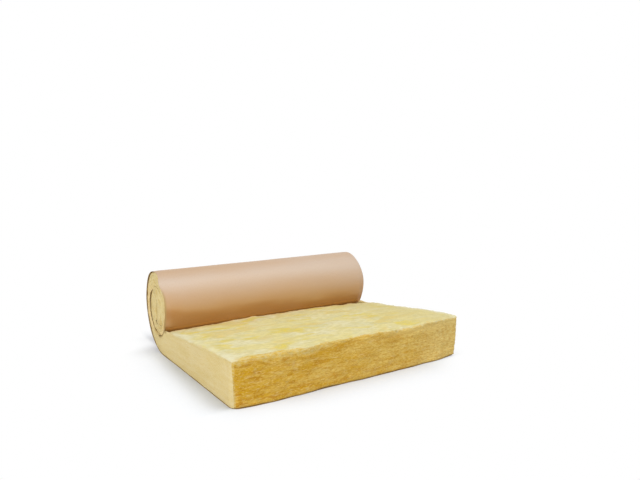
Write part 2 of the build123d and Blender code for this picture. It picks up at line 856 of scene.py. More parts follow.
@dataclass(frozen=True)
class Ground:
    """What a finish is laid on: its bench, the shared effects and the place on the piece."""

    bench: NodeBench
    groups: EffectGroups
    place: Socket

    def noise(self, density: tuple[float, float, float], **settings: object) -> Outputs:
        """Reads stretched noise: its windowed share, then its plain value."""
        node = self.groups.stretched.use(self.bench, Place=self.place, Density=density, **settings)
        return node.outputs

    def mask(self, streaks: Streaks) -> Socket:
        """Gives the share of the streaks at each place."""
        settings = {"Detail": streaks.detail, "Warp": streaks.warp, "Low": streaks.low, "High": streaks.high}
        return self.noise(streaks.density, **settings)[0]

    def lay(self, under: Socket, streaks: Streaks, strength: object = None) -> Socket:
        """Lays streaks over a colour, by their own strength or by another."""
        strength = streaks.strength if strength is None else strength
        return self.bench.tint(under, self.mask(streaks), strength, streaks.colour)


@dataclass(frozen=True)
class WoolFinish:
    """Yellow glass wool: pale matted face, golden layered cut, paler trimmed sides."""

    # pale fluffed fibres; along the open sides' top edges also a painted highlight
    fluff_and_highlight: Colour = rgb(0.800, 0.750, 0.510)
    roughness: float = 0.95
    felt_depth: float = 0.004
    ragged: float = 0.055  # how far the edge of the fringe strays, and how far its tufts do
    ragged_tufts: float = 0.026
    # The open face
    face_body: Colour = rgb(0.785, 0.688, 0.318)
    face_shaded_right: Colour = rgb(0.700, 0.605, 0.290)  # painted shade, laid towards the right
    painted_rim_light: Colour = rgb(0.900, 0.730, 0.350)  # painted light: a bright rim where the roll presses on the open blanket, over the shade of the nip
    clouds: Streaks = Streaks(rgb(0.800, 0.742, 0.476), (5.0, 6.0, 20.0), 2.0, 0.6, 0.42, 0.62)
    blotches: tuple[Streaks, ...] = (
        Streaks(rgb(0.690, 0.640, 0.370), (8.0, 11.0, 30.0), 1.5, 0.5, 0.50, 0.67, 0.80),  # greyish
        Streaks(rgb(0.740, 0.540, 0.140), (5.5, 9.0, 53.0), 1.5, 0.6, 0.52, 0.69, 0.60),  # golden
        Streaks(rgb(0.750, 0.600, 0.110), (8.0, 12.0, 41.0), 1.5, 0.6, 0.53, 0.68, 0.85),  # lemon
        Streaks(rgb(0.650, 0.570, 0.260), (30.0, 48.0, 60.0), 4.0, 0.3, 0.40, 0.60, 0.55),  # wisps: fine painted shade between the tufts
    )
    # The cut end, deeper and more saturated than the sides: partly its own colour, partly painted shade
    cut_body: Colour = rgb(0.635, 0.365, 0.022)
    cut_light: Colour = rgb(0.800, 0.580, 0.155)
    cut_dark: Colour = rgb(0.530, 0.255, 0.016)
    cut_straw: Colour = rgb(0.840, 0.665, 0.265)
    bands: Streaks = Streaks(cut_light, (4.0, 4.0, 24.0), 4.0, 0.4, 0.30, 0.70, 0.9)
    burnt: Streaks = Streaks(cut_dark, (13.0, 13.0, 75.0), 4.0, 0.7, 0.50, 0.62, 0.72)
    seams: Streaks = Streaks(cut_dark, (7.0, 7.0, 85.0), 3.0, 0.3, 0.52, 0.62, 0.38)
    straw: Streaks = Streaks(cut_straw, (21.0, 21.0, 75.0), 3.0, 0.4, 0.54, 0.70, 0.6)
    grain: Streaks = Streaks(cut_dark, (58.0, 58.0, 200.0), 3.0, 0.2, 0.42, 0.60, 0.50)
    specks: Streaks = Streaks(cut_light, (80.0, 80.0, 240.0), 2.0, 0.2, 0.52, 0.66, 0.6)
    # Its top edge, where the open face's fibres hang over it with painted shade beneath, and painted shade
    # along its foot
    fringe: Colour = rgb(0.660, 0.470, 0.115)
    pale_fringe: Colour = rgb(0.850, 0.650, 0.235)
    matted: Streaks = Streaks(fluff_and_highlight, (60.0, 70.0, 150.0), 3.0, 0.3, 0.42, 0.60, 0.30)
    # painted shade in a band under the hanging fringe
    brow: Streaks = Streaks(rgb(0.470, 0.235, 0.020), (22.0, 22.0, 60.0), 3.0, 0.0, 0.42, 0.60, 0.6)
    # painted shade along the cut end's foot, and in the wool's corner by the nip at the left end
    foot: Colour = rgb(0.300, 0.180, 0.045)
    # The trimmed sides and the roll's ends
    side_body: Colour = rgb(0.710, 0.560, 0.245)
    side_light: Colour = rgb(0.750, 0.615, 0.320)
    side_dark: Colour = rgb(0.650, 0.460, 0.150)
    # paler on the roll's ends than on the open sides: painted light, making up for the less light that
    # reaches the ends
    wound_body: Colour = rgb(0.820, 0.675, 0.340)
    peach: Colour = rgb(0.980, 0.750, 0.400)  # the outermost turn, under the facing at the back
    # painted shadow in the void at the heart of the roll
    fold: Colour = rgb(0.160, 0.080, 0.018)
    layers: Streaks = Streaks(side_light, (3.0, 4.0, 28.0), 4.0, 0.3, 0.35, 0.65)
    threads: tuple[Streaks, ...] = (
        Streaks(side_dark, (20.0, 20.0, 95.0), 4.0, 0.4, 0.48, 0.70, 0.36),
        Streaks(side_light, (60.0, 60.0, 260.0), 4.0, 0.0, 0.42, 0.64, 0.30),
        Streaks(side_dark, (240.0, 170.0, 900.0), 3.0, 0.2, 0.50, 0.62, 0.30),
        Streaks(fluff_and_highlight, (310.0, 210.0, 1200.0), 3.0, 0.2, 0.54, 0.64, 0.60),
    )
    wound_streaks: tuple[Streaks, ...] = (
        Streaks(side_dark, (20.0, 13.0, 30.0), 3.0, 0.8, 0.48, 0.62, 0.65),
        Streaks(rgb(0.600, 0.430, 0.160), (70.0, 45.0, 160.0), 4.0, 0.6, 0.50, 0.64, 0.45),
    )

    def face(self, ground: Ground) -> Socket:
        """Colours the blanket's open face: pale mat with lemon, golden and greyish blotches, painted shade
        in fine wisps and towards the right, and painted light where the roll presses on it.

        Args:
            ground: what the finish is laid on.

        Returns:
            The colour.
        """
        bench = ground.bench
        colour = bench.blend(ground.mask(self.clouds), self.face_body, self.clouds.colour)
        for blotches in self.blotches:
            colour = ground.lay(colour, blotches)
        across = bench.split(ground.place)[0]
        # painted shade towards the right
        colour = bench.tint(colour, bench.window(across, 0.28, 0.50), 0.65, self.face_shaded_right)
        # painted light along the line where the roll meets the open face
        painted_rim_light = bench.window(bench.layer(WoolLayer.RIM_LIGHT), 0.0, 1.0)
        return bench.tint(colour, painted_rim_light, 0.85, self.painted_rim_light)

    def cut(self, ground: Ground) -> Socket:
        """Colours the cut end: golden layers with burnt streaks, painted light towards +X, and straw high on
        its right half.

        Args:
            ground: what the finish is laid on.

        Returns:
            The colour.
        """
        bench = ground.bench
        across, _, height = bench.split(ground.place)
        # painted light: the cut end is made lighter towards +X, with fewer burnt streaks there
        painted_light_right = bench.add("ShaderNodeMapRange")
        bench.feed(painted_light_right, Value=across, From_Min=-0.6, From_Max=0.6, To_Min=-0.36, To_Max=0.70)
        painted_light_right = painted_light_right.outputs[0]
        banded = bench.maths("MULTIPLY_ADD", ground.mask(self.bands), self.bands.strength, painted_light_right)
        colour = bench.blend(banded, self.cut_body, self.bands.colour)
        burnt_share = bench.maths("MULTIPLY_ADD", painted_light_right, -0.70, self.burnt.strength)
        colour = ground.lay(colour, self.burnt, burnt_share)
        seam_share = bench.times(bench.window(across, -0.10, 0.02), self.seams.strength)
        colour = ground.lay(colour, self.seams, seam_share)
        colour = ground.lay(colour, self.straw)
        # painted light: straw laid over the right part
        colour = bench.tint(colour, bench.window(across, 0.28, 0.50), 0.50, self.cut_straw)
        colour = ground.lay(colour, self.grain)
        bright = bench.blend(bench.window(across, 0.20, 0.50), self.specks.colour, self.cut_straw)
        colour = bench.tint(colour, ground.mask(self.specks), self.specks.strength, bright)
        upper = bench.times(bench.window(height, 0.140, 0.185), bench.window(across, 0.0, 0.35))
        return bench.tint(colour, upper, 0.4, self.cut_straw)

    def side(self, ground: Ground) -> Socket:
        """Colours the trimmed sides: straw, with faint lines along the layers.

        Args:
            ground: what the finish is laid on.

        Returns:
            The colour.
        """
        bench = ground.bench
        colour = bench.blend(ground.mask(self.layers), self.side_body, self.layers.colour)
        for threads in self.threads:
            colour = ground.lay(colour, threads)
        _, along, height = bench.split(ground.place)
        # painted light: the roll's ends are made paler than the open sides
        colour = bench.tint(colour, bench.window(along, 0.4, 1.0), 0.75, self.wound_body)
        outermost = bench.times(bench.window(along, 0.95, 1.10), bench.window(along, 1.36, 1.24))
        colour = bench.tint(colour, outermost, 0.8, self.peach)
        rim = bench.times(bench.window(along, 1.62, 1.72), bench.window(along, 1.90, 1.82))
        rim = bench.times(rim, bench.window(height, 0.085, 0.030))
        colour = bench.tint(colour, rim, 0.6, self.peach)
        wound = bench.window(along, 0.75, 1.00)
        for streaks in self.wound_streaks:
            share = bench.times(ground.mask(streaks), wound)
            colour = bench.tint(colour, share, streaks.strength, streaks.colour)
        return colour

    def top_edge(self, ground: Ground, cut: Socket, hang: Socket, loose: Socket) -> Socket:
        """Colours the cut end along its edges: the fringe that hangs over it, with painted shade beneath.

        Args:
            ground: what the finish is laid on.
            cut: the cut end's colour.
            hang: how far below the ragged top edge, less how far in from the cut end.
            loose: coarse noise round 0.

        Returns:
            The cut end's colour with its edges.
        """
        bench = ground.bench
        across = bench.split(ground.place)[0]
        deep = bench.maths("ADD", hang, bench.times(bench.window(across, 0.10, -0.40), -0.032))
        # painted shade in a band under the fringe
        brow = bench.times(bench.window(deep, 0.010, 0.017), bench.window(deep, 0.028, 0.018))
        brow = bench.times(brow, bench.window(across, 0.15, -0.35), ground.mask(self.brow))
        cut = bench.tint(cut, brow, self.brow.strength, self.brow.colour)
        upright = bench.layer(WoolLayer.EDGE)
        upright = bench.window(bench.maths("MULTIPLY_ADD", loose, 1.2, upright), 0.1, 1.0)
        fringed = bench.maths("MAXIMUM", bench.window(deep, 0.015, 0.001), upright)
        fringe = bench.blend(bench.window(across, -0.10, 0.40), self.fringe, self.pale_fringe)
        matted = ground.mask(self.matted)
        fringe = bench.tint(fringe, matted, self.matted.strength, self.matted.colour)
        return bench.tint(cut, fringed, bench.maths("MULTIPLY_ADD", matted, 0.45, 0.48), fringe)

    def build(self, groups: EffectGroups) -> Material:
        """Makes the material.

        Args:
            groups: the shared effects.

        Returns:
            The wool material.
        """
        material, bench, shader = new_material("glass_wool")
        ground = Ground(bench, groups, bench.layer(WoolLayer.PLACE, "Vector"))
        ragged = ground.noise((17.0, 20.0, 12.0), Detail=5.0, Roughness=0.6)[1]
        loose = bench.maths("SUBTRACT", ragged, 0.5)
        tufts = bench.maths("SUBTRACT", ground.noise((55.0, 60.0, 40.0), Detail=3.0)[1], 0.5)
        ragged = bench.maths("MULTIPLY_ADD", tufts, self.ragged_tufts, bench.times(loose, self.ragged))
        hang = bench.maths("ADD", bench.layer(WoolLayer.HANG), ragged)
        on_end = bench.layer(WoolLayer.CUT_END)
        on_side = bench.layer(WoolLayer.TRIMMED_SIDE)
        over_edge = bench.times(bench.window(on_end, 0.30, 0.90), bench.window(hang, 0.004, -0.004))
        on_end = bench.maths("MAXIMUM", bench.window(on_end, 0.10, 0.60), bench.window(on_side, 1.0, 0.6))
        on_end = bench.times(on_end, bench.window(hang, -0.005, 0.006))
        on_side = bench.window(bench.maths("MULTIPLY_ADD", loose, 1.4, on_side), 0.30, 0.80)
        colour = bench.blend(on_side, self.face(ground), self.side(ground))
        colour = bench.tint(colour, over_edge, 0.5, self.fluff_and_highlight)
        colour = bench.blend(on_end, colour, self.top_edge(ground, self.cut(ground), hang, loose))
        # painted shade along the cut end's foot and by the nip
        colour = bench.tint(colour, bench.layer(WoolLayer.FOOT_SHADE), 0.7, self.foot)
        here = ground.noise((6.0, 7.0, 6.0), Detail=2.0, Low=0.40, High=0.60)[0]
        # pale fluff and a painted highlight along the open sides' top edges
        fluff_and_highlight = bench.maths("MULTIPLY_ADD", loose, 1.5, bench.layer(WoolLayer.ARRIS))
        fluff_and_highlight = bench.times(bench.window(fluff_and_highlight, 0.1, 0.9), bench.maths("MULTIPLY_ADD", here, 0.65, 0.15))
        colour = bench.blend(fluff_and_highlight, colour, self.fluff_and_highlight)
        # painted shadow in the void at the heart of the roll
        colour = bench.blend(bench.layer(WoolLayer.VOID_SHADE), colour, self.fold)
        felt = groups.felt.use(bench, Place=ground.place, Across=110.0, Along=110.0, Deep=330.0, Tufts=0.9)
        normal = bench.bump(felt.outputs[0], self.felt_depth, 0.6)
        bench.feed(shader, Base_Color=colour, Roughness=self.roughness, Normal=normal)
        bench.feed(shader, Specular_IOR_Level=0.1)
        return material


@dataclass(frozen=True)
class FibreFinish:
    """Single glass fibres: pale straw off the open face, golden off the cut end."""

    straw: Colour = rgb(0.860, 0.780, 0.480)
    lemon: Colour = rgb(0.800, 0.660, 0.230)
    golden: Colour = rgb(0.760, 0.520, 0.120)
    roughness: float = 0.55

    def build(self, groups: EffectGroups) -> Material:
        """Makes the material.

        Args:
            groups: the shared effects.

        Returns:
            The fibres' material.
        """
        material, bench, shader = new_material("glass_fibres")
        ground = Ground(bench, groups, bench.layer(FibreLayer.PLACE, "Vector"))
        shades = ground.noise((30.0, 30.0, 30.0), Detail=2.0)[0]
        colour = bench.blend(shades, self.straw, self.lemon)
        golden = bench.blend(shades, self.golden, self.lemon)
        colour = bench.blend(bench.layer(FibreLayer.CUT_END), colour, golden)
        bench.feed(shader, Base_Color=colour, Roughness=self.roughness, Specular_IOR_Level=0.3)
        return material


@dataclass(frozen=True)
class KraftFinish:
    """Kraft paper outside, in painted light and shade: pale tan with a painted highlight on top, golden to
    deep brown where less light reaches it; bitumen bond inside.
    """

    # painted light and shade, from the roll's top down its front: lit tan with a painted highlight, then
    # golden
    highlit_tan: Colour = rgb(0.590, 0.455, 0.345)
    golden: Colour = rgb(0.560, 0.300, 0.105)
    fleck: Colour = rgb(0.480, 0.290, 0.150)
    # painted shade low on the roll's front
    deep: Colour = rgb(0.465, 0.220, 0.066)
    bond: Colour = rgb(0.270, 0.170, 0.058)
    nook: Colour = rgb(0.570, 0.290, 0.078)  # where it turns under: painted reflected light off the wool
    worn: Colour = rgb(0.450, 0.310, 0.115)  # painted shadow line along the left cut edge low on the roll's front; a mid brown at the foot
    painted_nip_light: Colour = rgb(0.820, 0.640, 0.330)  # painted light over the shade round the nip
    fleck_share: float = 0.14
    roughness: float = 0.50
    grain_depth: float = 0.0004

    def build(self, groups: EffectGroups) -> Material:
        """Makes the material.

        Args:
            groups: the shared effects.

        Returns:
            The facing's material.
        """
        material, bench, shader = new_material("kraft_paper")
        ground = Ground(bench, groups, bench.layer(FacingLayer.PLACE, "Vector"))
        cloud = ground.noise((2.5, 6.0, 3.0), Detail=3.0, Low=0.2, High=0.8)[0]
        fibre = ground.noise((240.0, 90.0, 90.0), Detail=5.0, Low=0.4, High=0.66)
        cloud = bench.maths("SUBTRACT", cloud, 0.5)
        # painted light and shade by heading, made uneven by a cloud noise: lit tan, golden, deep brown, then
        # the nook's painted reflected light
        uneven = bench.maths("MULTIPLY_ADD", cloud, 0.16, bench.layer(FacingLayer.PAINTED_SHADE))
        colour = bench.blend(uneven, self.highlit_tan, self.golden)
        colour = bench.blend(bench.window(uneven, 0.80, 1.0), colour, self.deep)
        colour = bench.blend(bench.window(uneven, 1.08, 1.30), colour, self.nook)
        colour = bench.tint(colour, fibre[0], self.fleck_share, self.fleck)
        bonded = bench.window(bench.layer(FacingLayer.BONDED), 0.4, 0.6)
        colour = bench.blend(bonded, colour, self.bond)
        # the cut edges: a painted shadow line low on the roll's front, painted light round the nip, a mid
        # brown at the foot
        worn = bench.layer(FacingLayer.EDGE_TONE)
        worn_colour = bench.blend(bench.window(worn, 0.75, 0.95), self.worn, self.painted_nip_light)
        colour = bench.blend(worn, colour, worn_colour)
        rough = bench.maths("MULTIPLY_ADD", fibre[1], 0.12, self.roughness - 0.06)
        normal = bench.bump(fibre[1], self.grain_depth, 0.25)
        bench.feed(shader, Base_Color=colour, Roughness=rough, Normal=normal)
        bench.feed(shader, Specular_IOR_Level=0.5)
        return material


# The pieces


@dataclass(frozen=True)
class WoolBlanket:
    """The glass wool: one blanket, flat at its cut end and wound up behind."""

    section: BlanketSection
    columns: int = 220
    rows: int = 36
    flat_step: float = 0.0055
    wound_step: float = 0.0065
    top_edge: float = 0.009  # how far the handled edges are rounded
    front_edge: float = 0.013  # and the cut end's top edge, more still towards its left
    left_front_edge: float = 0.024
    bottom_edge: float = 0.004
    wound_edge: float = 0.006
    snug: float = 0.0010  # how far the inner turns close over the facing at the roll's ends
    wound_inset: float = 0.0040  # how far the wound turns lie in from the blanket's sides
    left_lean: float = 0.001  # how far the open sides stand out over their foot
    right_lean: float = 0.011
    bulge: float = 0.008  # how far the squeezed turns swell out of the roll's ends
    # Heights of the relief on the open face, largest features first
    lump: float = 0.0040
    dimple: float = 0.0026
    tuft: float = 0.0014
    # and on the cut end, and less on the sides
    layer: float = 0.0022
    strand: float = 0.0014
    cut_tuft: float = 0.0010
    cut_lump: float = 0.005
    cut_dimple: float = 0.002
    side_share: float = 0.6
    end_relief: float = 0.003  # on the roll's ends
    right_rise: float = 0.006  # of the open face towards its right front corner
    # Where the roll presses on the open face
    pressed_run: tuple[float, float] = (0.20, 0.03)  # from where the facing lifts off the floor
    ripple: float = 0.0035
    sag: float = 0.005
    right_sag: float = 0.006
    crown: float = 0.009  # how much lower it lies at its two sides
    mound: float = 0.009  # left of the middle
    # How far lower the fringe over the cut end ends: height, place across and width of each wave
    fringe_waves: tuple[tuple[float, float, float], ...] = (
        (-0.023, -0.245, 0.075),
        (0.010, 0.02, 0.05),
        (-0.007, 0.24, 0.05),
    )

    def stations(self) -> Array:
        """Gives places along the facing, closer together at the cut end's rounded edge.

        Returns:
            Length of facing from the cut end to each.
        """
        path = self.section.path
        front = np.linspace(0, 0.05, 19)[:-1]
        flat = np.arange(0.05, path.flat_run, self.flat_step)
        return np.concatenate((front, flat, path.wound_stations(self.wound_step)))

    def shell(self, stations: Array) -> LatticeShell:
        """Lays the blanket's skin.

        Args:
            stations: places along the facing.

        Returns:
            The skin.
        """
        skin = LatticeShell()
        wide, deep, last = self.columns, self.rows, len(stations) - 1
        nip = int(np.searchsorted(stations, self.section.path.flat_run + 0.02))
        skin.sheet(lambda i, j: (i, j, deep), wide, nip)
        skin.sheet(lambda i, j: (i, 0, j), wide, deep)
        skin.sheet(lambda i, j: (0, j, i), deep, last)
        skin.sheet(lambda i, j: (wide, i, j), last, deep)
        hidden_top = [(i, nip, deep) for i in range(wide + 1)]
        skin.face([*hidden_top, (wide, nip + 1, deep), (0, nip + 1, deep)])
        skin.face([*[(i, 0, 0) for i in range(wide + 1)][::-1], (0, 1, 0), (wide, 1, 0)])
        for j in range(nip + 1, last):
            skin.face(((0, j, deep), (wide, j, deep), (wide, j + 1, deep), (0, j + 1, deep)))
        for j in range(1, last):
            skin.face(((0, j, 0), (0, j + 1, 0), (wide, j + 1, 0), (wide, j, 0)))
        for k in range(deep):
            skin.face(((0, last, k), (0, last, k + 1), (wide, last, k + 1), (wide, last, k)))
        return skin

    def closing(self, along: Array, level: Array) -> tuple[Array, Array]:
        """Works out where turns press on each other, which leaves their edges less round.

        Args:
            along: length of facing from the cut end.
            level: 0 at the facing to 1 at the open face.

        Returns:
            How far each edge is closed, and how far it is shut tight over the facing.
        """
        turned = self.section.path.turned(along)
        below = between(turned, 300.0, 315.0, 385.0, 410.0) * (1 - level)
        closed = (0.35 + 0.65 * ease(turned, 470.0, 500.0)) * ease(turned, 270.0, 300.0)
        closed = closed * (1 - level) + below
        at_nip = ease(along, 0.70, 0.76) * ease(turned, 40.0, 20.0) * level
        under_roll = 0.45 * ease(along, 0.70, 0.78) + 0.55 * ease(turned, 100.0, 130.0)
        closed += under_roll * ease(turned, 396.0, 388.0) * level + at_nip
        closed += ease(turned, 422.0, 434.0) * level
        inner_turn = ease(turned, 480.0, 510.0)
        round_core = between(turned, 130.0, 160.0, 380.0, 394.0) * level
        return closed, np.maximum(inner_turn, round_core) + 0.7 * below + 0.7 * at_nip

    def soften(self, spots: Array, tall: Array, level: Array) -> tuple[Array, Array]:
        """Rounds the blanket's edges.

        Args:
            spots: across, along and over, on the blanket's plain faces.
            tall: the wool's thickness at each spot.
            level: 0 at the facing to 1 at the open face.

        Returns:
            The rounded spots and the way out of the wool at each.
        """
        path = self.section.path
        wound = ease(spots[:, 1], path.flat_run - 0.1, path.flat_run + 0.1)
        uneven = 1 + 0.5 * rumple(spots, (9.0, 9.0, 3.0), 21.0)
        round_top = self.top_edge * (1 - wound) + self.wound_edge * wound
        round_foot = self.bottom_edge * (1 - wound) + self.wound_edge * wound
        radius = (round_foot + (round_top - round_foot) * ease(level, 0.2, 0.8)) * uneven
        closed, shut = self.closing(spots[:, 1], level)
        radius = radius * (1 - 0.75 * np.minimum(closed, 1) - 0.17 * shut)
        radius = np.minimum(radius, 0.45 * tall)
        more = self.left_front_edge - self.front_edge
        worn = self.front_edge + more * ease(-spots[:, 0], 0.05, 0.45)
        worn = (worn * uneven - radius) * ease(level, 0.5, 0.9) * ease(spots[:, 1], 0.07, 0.02)
        radii = np.stack((radius, radius + worn, radius + worn), axis=1)
        low = np.stack((-HALF_WIDTH + radius, radii[:, 1], radius), axis=1)
        high = np.stack((HALF_WIDTH - radius, path.length - radius * 0.2, tall - radii[:, 2]), axis=1)
        inner = np.clip(spots, low, high)
        way = (spots - inner) / radii
        way /= np.maximum(np.linalg.norm(way, axis=1), 1e-9)[:, None]
        spots = inner + way * radii
        trimmed = trim_corners(spots[:, :2])
        foot = (1 - 0.55 * ease(level, 0.1, 0.75))[:, None]
        spots[:, :2] = trimmed * foot + spots[:, :2] * (1 - foot)
        from_side = from_sides(spots[:, 0])
        spots[:, 2] += (2 * level - 1) * self.snug * shut * ease(from_side, 0.009, 0.004)
        return spots, way

    def lean(self, spots: Array, level: Array) -> Array:
        """How far the open blanket's sides stand out over their foot.

        Args:
            spots: the rounded spots.
            level: 0 at the facing to 1 at the open face.

        Returns:
            Shift along X at each spot.
        """
        path = self.section.path
        share = np.clip(spots[:, 0] / HALF_WIDTH, -1, 1)
        lean = np.where(share > 0, self.right_lean, self.left_lean) * ease(level, 0.0, 0.9)
        lean = lean * ease(spots[:, 1], path.flat_run, 0.3)
        drawn_in = self.wound_inset * ease(spots[:, 1], path.flat_run, path.flat_run + 0.2)
        return share**3 * (lean - drawn_in)

    def swell(self, spots: Array, way: Array, level: Array) -> Array:
        """How far the wool stands proud of its plain faces.

        Args:
            spots: the rounded spots.
            way: the way out of the wool at each.
            level: 0 at the facing to 1 at the open face.

        Returns:
            Height in metres at each spot.
        """
        path = self.section.path
        across, along = spots[:, 0], spots[:, 1]
        cut, side, top = -np.minimum(way[:, 1], 0), np.abs(way[:, 0]), np.maximum(way[:, 2], 0)
        lumps = rumple(spots, (7.0, 10.0, 7.0), 1.3)
        dimples = rumple(spots, (22.0, 30.0, 30.0), 5.9)
        tufts = rumple(spots, (60.0, 75.0, 75.0), 8.2)
        layers = rumple(spots, (10.0, 10.0, 70.0), 12.4)
        strands = rumple(spots, (34.0, 34.0, 190.0), 17.1)
        height = top * (self.lump * lumps + self.dimple * dimples + self.tuft * tufts)
        ripples = rumple(spots, (9.0, 4.0, 4.0), 30.0) + 0.6 * rumple(spots, (23.0, 4.0, 4.0), 41.0)
        crown = self.crown * (np.abs(across) / HALF_WIDTH) ** 3
        sag = self.sag + self.right_sag * ease(across, 0.38, 0.46)
        mound = self.mound * hump(across, -0.105, 0.035)
        far, near = self.pressed_run
        at_roll = ease(along, path.flat_run - far, path.flat_run - near)
        height += top * at_roll * (self.ripple * ripples - sag - crown + mound)
        height += top * self.right_rise * ease(across, 0.3, 0.6) * ease(along, 0.5, 0.0)
        relief = self.layer * layers + self.strand * strands + self.cut_tuft * tufts
        height += (cut + side * self.side_share) * relief
        cut_lumps = rumple(spots, (5.0, 4.0, 6.0), 26.0)
        height += cut * (self.cut_lump * cut_lumps + self.cut_dimple * dimples)
        wound = ease(along, path.flat_run - 0.05, path.flat_run + 0.15)
        pillow = np.clip(4 * level * (1 - level), 0, 1)
        height += side * pillow * self.bulge * (0.25 + 0.75 * wound)
        return height + side * wound * self.end_relief * rumple(spots, (30.0, 24.0, 60.0), 33.0)

    def shape(self, plain: Array, level: Array) -> tuple[Array, Array]:
        """Softens the plain block: rounded, leaning, lumpy.

        Args:
            plain: across, along and over, on the blanket's plain faces.
            level: 0 at the facing to 1 at the open face.

        Returns:
            The soft spots and the way out of the wool at each.
        """
        spots, way = self.soften(plain, self.section.thickness(plain[:, 1]), level)
        spots = spots + way * self.swell(spots, way, level)[:, None]
        spots[:, 0] += self.lean(spots, level) + self.section.wider(plain[:, 0], plain[:, 1])
        spots[:, 1] -= self.section.forward(plain[:, 0], plain[:, 1])
        return spots, way

    def layers(self, plain: Array, way: Array, level: Array) -> dict[Enum, Array]:
        """Works out what the finish reads at each point.

        Args:
            plain: across, along and over, on the blanket's plain faces.
            way: the way out of the wool at each.
            level: 0 at the facing to 1 at the open face.

        Returns:
            The mesh layers.
        """
        path = self.section.path
        across, along = plain[:, 0], plain[:, 1]
        place = np.stack((across, along, level * self.section.wool_thickness), axis=1)
        turned = path.turned(along)
        from_side = from_sides(across)
        from_top = (1 - level) * self.section.thickness(along)
        arris = ease(from_side, 0.060, 0.0) * ease(from_top, 0.012, 0.0) * (along < path.flat_run - 0.1)
        hang = np.clip(self.section.wool_thickness - place[:, 2], 0.0, 0.12) - np.clip(along, 0.0, 0.06)
        hang += 0.022 * ease(-across, -0.20, 0.35)
        for height, middle, width in self.fringe_waves:
            hang += height * hump(across, middle, width)
        under_rim = 0.4 * ease(from_top, 0.022, 0.002) * ease(along, 0.72, 0.60)
        under_rim = under_rim * ease(along, 0.01, 0.04)
        # painted shade along the foot of the cut end
        foot = ease(place[:, 2], 0.009, 0.001) * ease(-way[:, 1], 0.1, 0.6)
        # painted shadow in the corner by the nip at the roll's left end
        nip_corner_shade = ease(from_side, 0.035, 0.012) * ease(along, 0.725, 0.745) * ease(level, 0.86, 0.95)
        nip_corner_shade = nip_corner_shade * (across < 0) * ease(turned, 18.0, 8.0)
        # painted light along the line where the roll meets the open face
        painted_rim_light = ease(along, 0.738, 0.750) * ease(way[:, 2], 0.3, 0.9) * ease(from_side, 0.01, 0.03)
        return {
            WoolLayer.PLACE: place,
            WoolLayer.CUT_END: ease(-way[:, 1], 0.25, 0.90),
            WoolLayer.TRIMMED_SIDE: ease(np.abs(way[:, 0]), 0.1, 0.6) * (1 - under_rim),
            WoolLayer.ARRIS: arris,
            WoolLayer.HANG: hang,
            WoolLayer.EDGE: ease(from_side, 0.016, 0.002),
            WoolLayer.FOOT_SHADE: np.maximum(foot, nip_corner_shade),
            WoolLayer.VOID_SHADE: between(turned, 400.0, 406.0, 418.0, 426.0) * ease(level, 0.86, 0.95),
            WoolLayer.RIM_LIGHT: painted_rim_light,
        }

    def build(self, finish: Material) -> bpy.types.Object:
        """Makes the wool piece, which stands for the CAD's wool.

        Args:
            finish: the wool's material.

        Returns:
            The piece.
        """
        stations = self.stations()
        skin = self.shell(stations)
        columns, steps, rows = skin.lattice.T
        share, depth = crowded(self.columns, 0.06), crowded(self.rows, 0.08)
        across, along, level = (2 * share[columns] - 1) * HALF_WIDTH, stations[steps], depth[rows]
        plain = np.stack((across, along, level * self.section.thickness(along)), axis=1)
        spots, way = self.shape(plain, level)
        layers = self.layers(plain, way, level)
        piece = make_piece("glass_wool", self.section.place(spots), skin.faces, layers, finish)
        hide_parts("glass_wool_blanket")
        return piece


